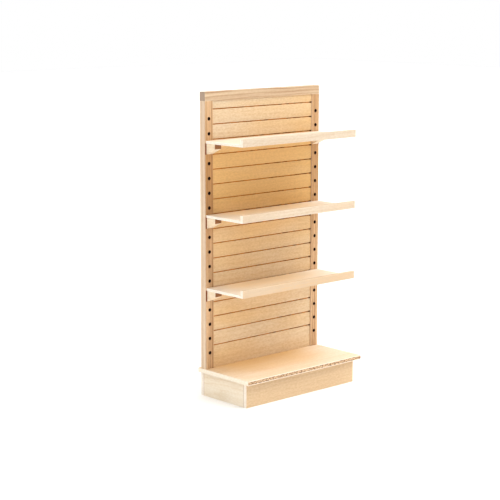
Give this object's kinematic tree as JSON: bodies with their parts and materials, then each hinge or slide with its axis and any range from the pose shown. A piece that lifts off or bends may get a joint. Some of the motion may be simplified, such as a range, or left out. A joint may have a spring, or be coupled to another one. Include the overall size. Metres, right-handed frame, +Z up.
{
  "type": "gondola shelving unit",
  "caption": "Free-standing wooden gondola bay with a slatted back, peg-hole uprights, a plywood plinth and lipped shelves that unplug and plug in at other heights.",
  "frame": {"origin": "on the floor, under the middle of the whole unit", "axes": "+Z up; the shelves stick out towards -Y, where the shopper stands; +X to the shopper's right"},
  "size_m": [0.924, 0.437, 1.786],
  "materials": {
    "header_wood": "raw, sanded",
    "upright_wood": "raw, sanded",
    "back_board_wood": "raw, sanded",
    "deck_plywood": "raw, sanded",
    "plinth_plywood": "raw, sanded",
    "block_wood": "raw, sanded",
    "dowel_wood": "raw, sanded",
    "bracket_wood": "raw, sanded",
    "shelf_wood": "raw, sanded"
  },
  "bodies": {
    "frame": {"header_rail": "header_wood", "upright_left": "upright_wood", "upright_right": "upright_wood", "header_dowels": "dowel_wood", "upright_foot_dowels": "dowel_wood", "back_board_01": "back_board_wood", "back_board_02": "back_board_wood", "back_board_03": "back_board_wood", "back_board_04": "back_board_wood", "back_board_05": "back_board_wood", "back_board_06": "back_board_wood", "back_board_07": "back_board_wood", "back_board_08": "back_board_wood", "back_board_09": "back_board_wood", "back_board_10": "back_board_wood", "back_board_11": "back_board_wood", "back_board_12": "back_board_wood", "back_board_13": "back_board_wood", "back_board_14": "back_board_wood", "back_board_15": "back_board_wood", "back_board_16": "back_board_wood", "back_board_17": "back_board_wood", "back_board_18": "back_board_wood", "base_deck": "deck_plywood", "plinth_front_board": "plinth_plywood", "plinth_back_board": "plinth_plywood", "plinth_side_board_left": "plinth_plywood", "plinth_side_board_right": "plinth_plywood", "corner_block_front_left": "block_wood", "corner_block_front_right": "block_wood", "corner_block_rear_left": "block_wood", "corner_block_rear_right": "block_wood"},
    "upper_shelf": {"upper_shelf_board": "shelf_wood", "upper_shelf_front_lip": "shelf_wood", "upper_shelf_bracket_left": "bracket_wood", "upper_shelf_bracket_right": "bracket_wood", "upper_shelf_peg_left": "dowel_wood", "upper_shelf_peg_right": "dowel_wood"},
    "middle_shelf": {"middle_shelf_board": "shelf_wood", "middle_shelf_front_lip": "shelf_wood", "middle_shelf_bracket_left": "bracket_wood", "middle_shelf_bracket_right": "bracket_wood", "middle_shelf_peg_left": "dowel_wood", "middle_shelf_peg_right": "dowel_wood"},
    "lower_shelf": {"lower_shelf_board": "shelf_wood", "lower_shelf_front_lip": "shelf_wood", "lower_shelf_bracket_left": "bracket_wood", "lower_shelf_bracket_right": "bracket_wood", "lower_shelf_peg_left": "dowel_wood", "lower_shelf_peg_right": "dowel_wood"}
  },
  "joints": [
    {"name": "upper_shelf_pull", "type": "slide", "parent": "frame", "child": "upper_shelf", "axis": [0, -1, 0], "range_m": [0, 0.42]},
    {"name": "middle_shelf_pull", "type": "slide", "parent": "frame", "child": "middle_shelf", "axis": [0, -1, 0], "range_m": [0, 0.42]},
    {"name": "lower_shelf_pull", "type": "slide", "parent": "frame", "child": "lower_shelf", "axis": [0, -1, 0], "range_m": [0, 0.42]}
  ]
}
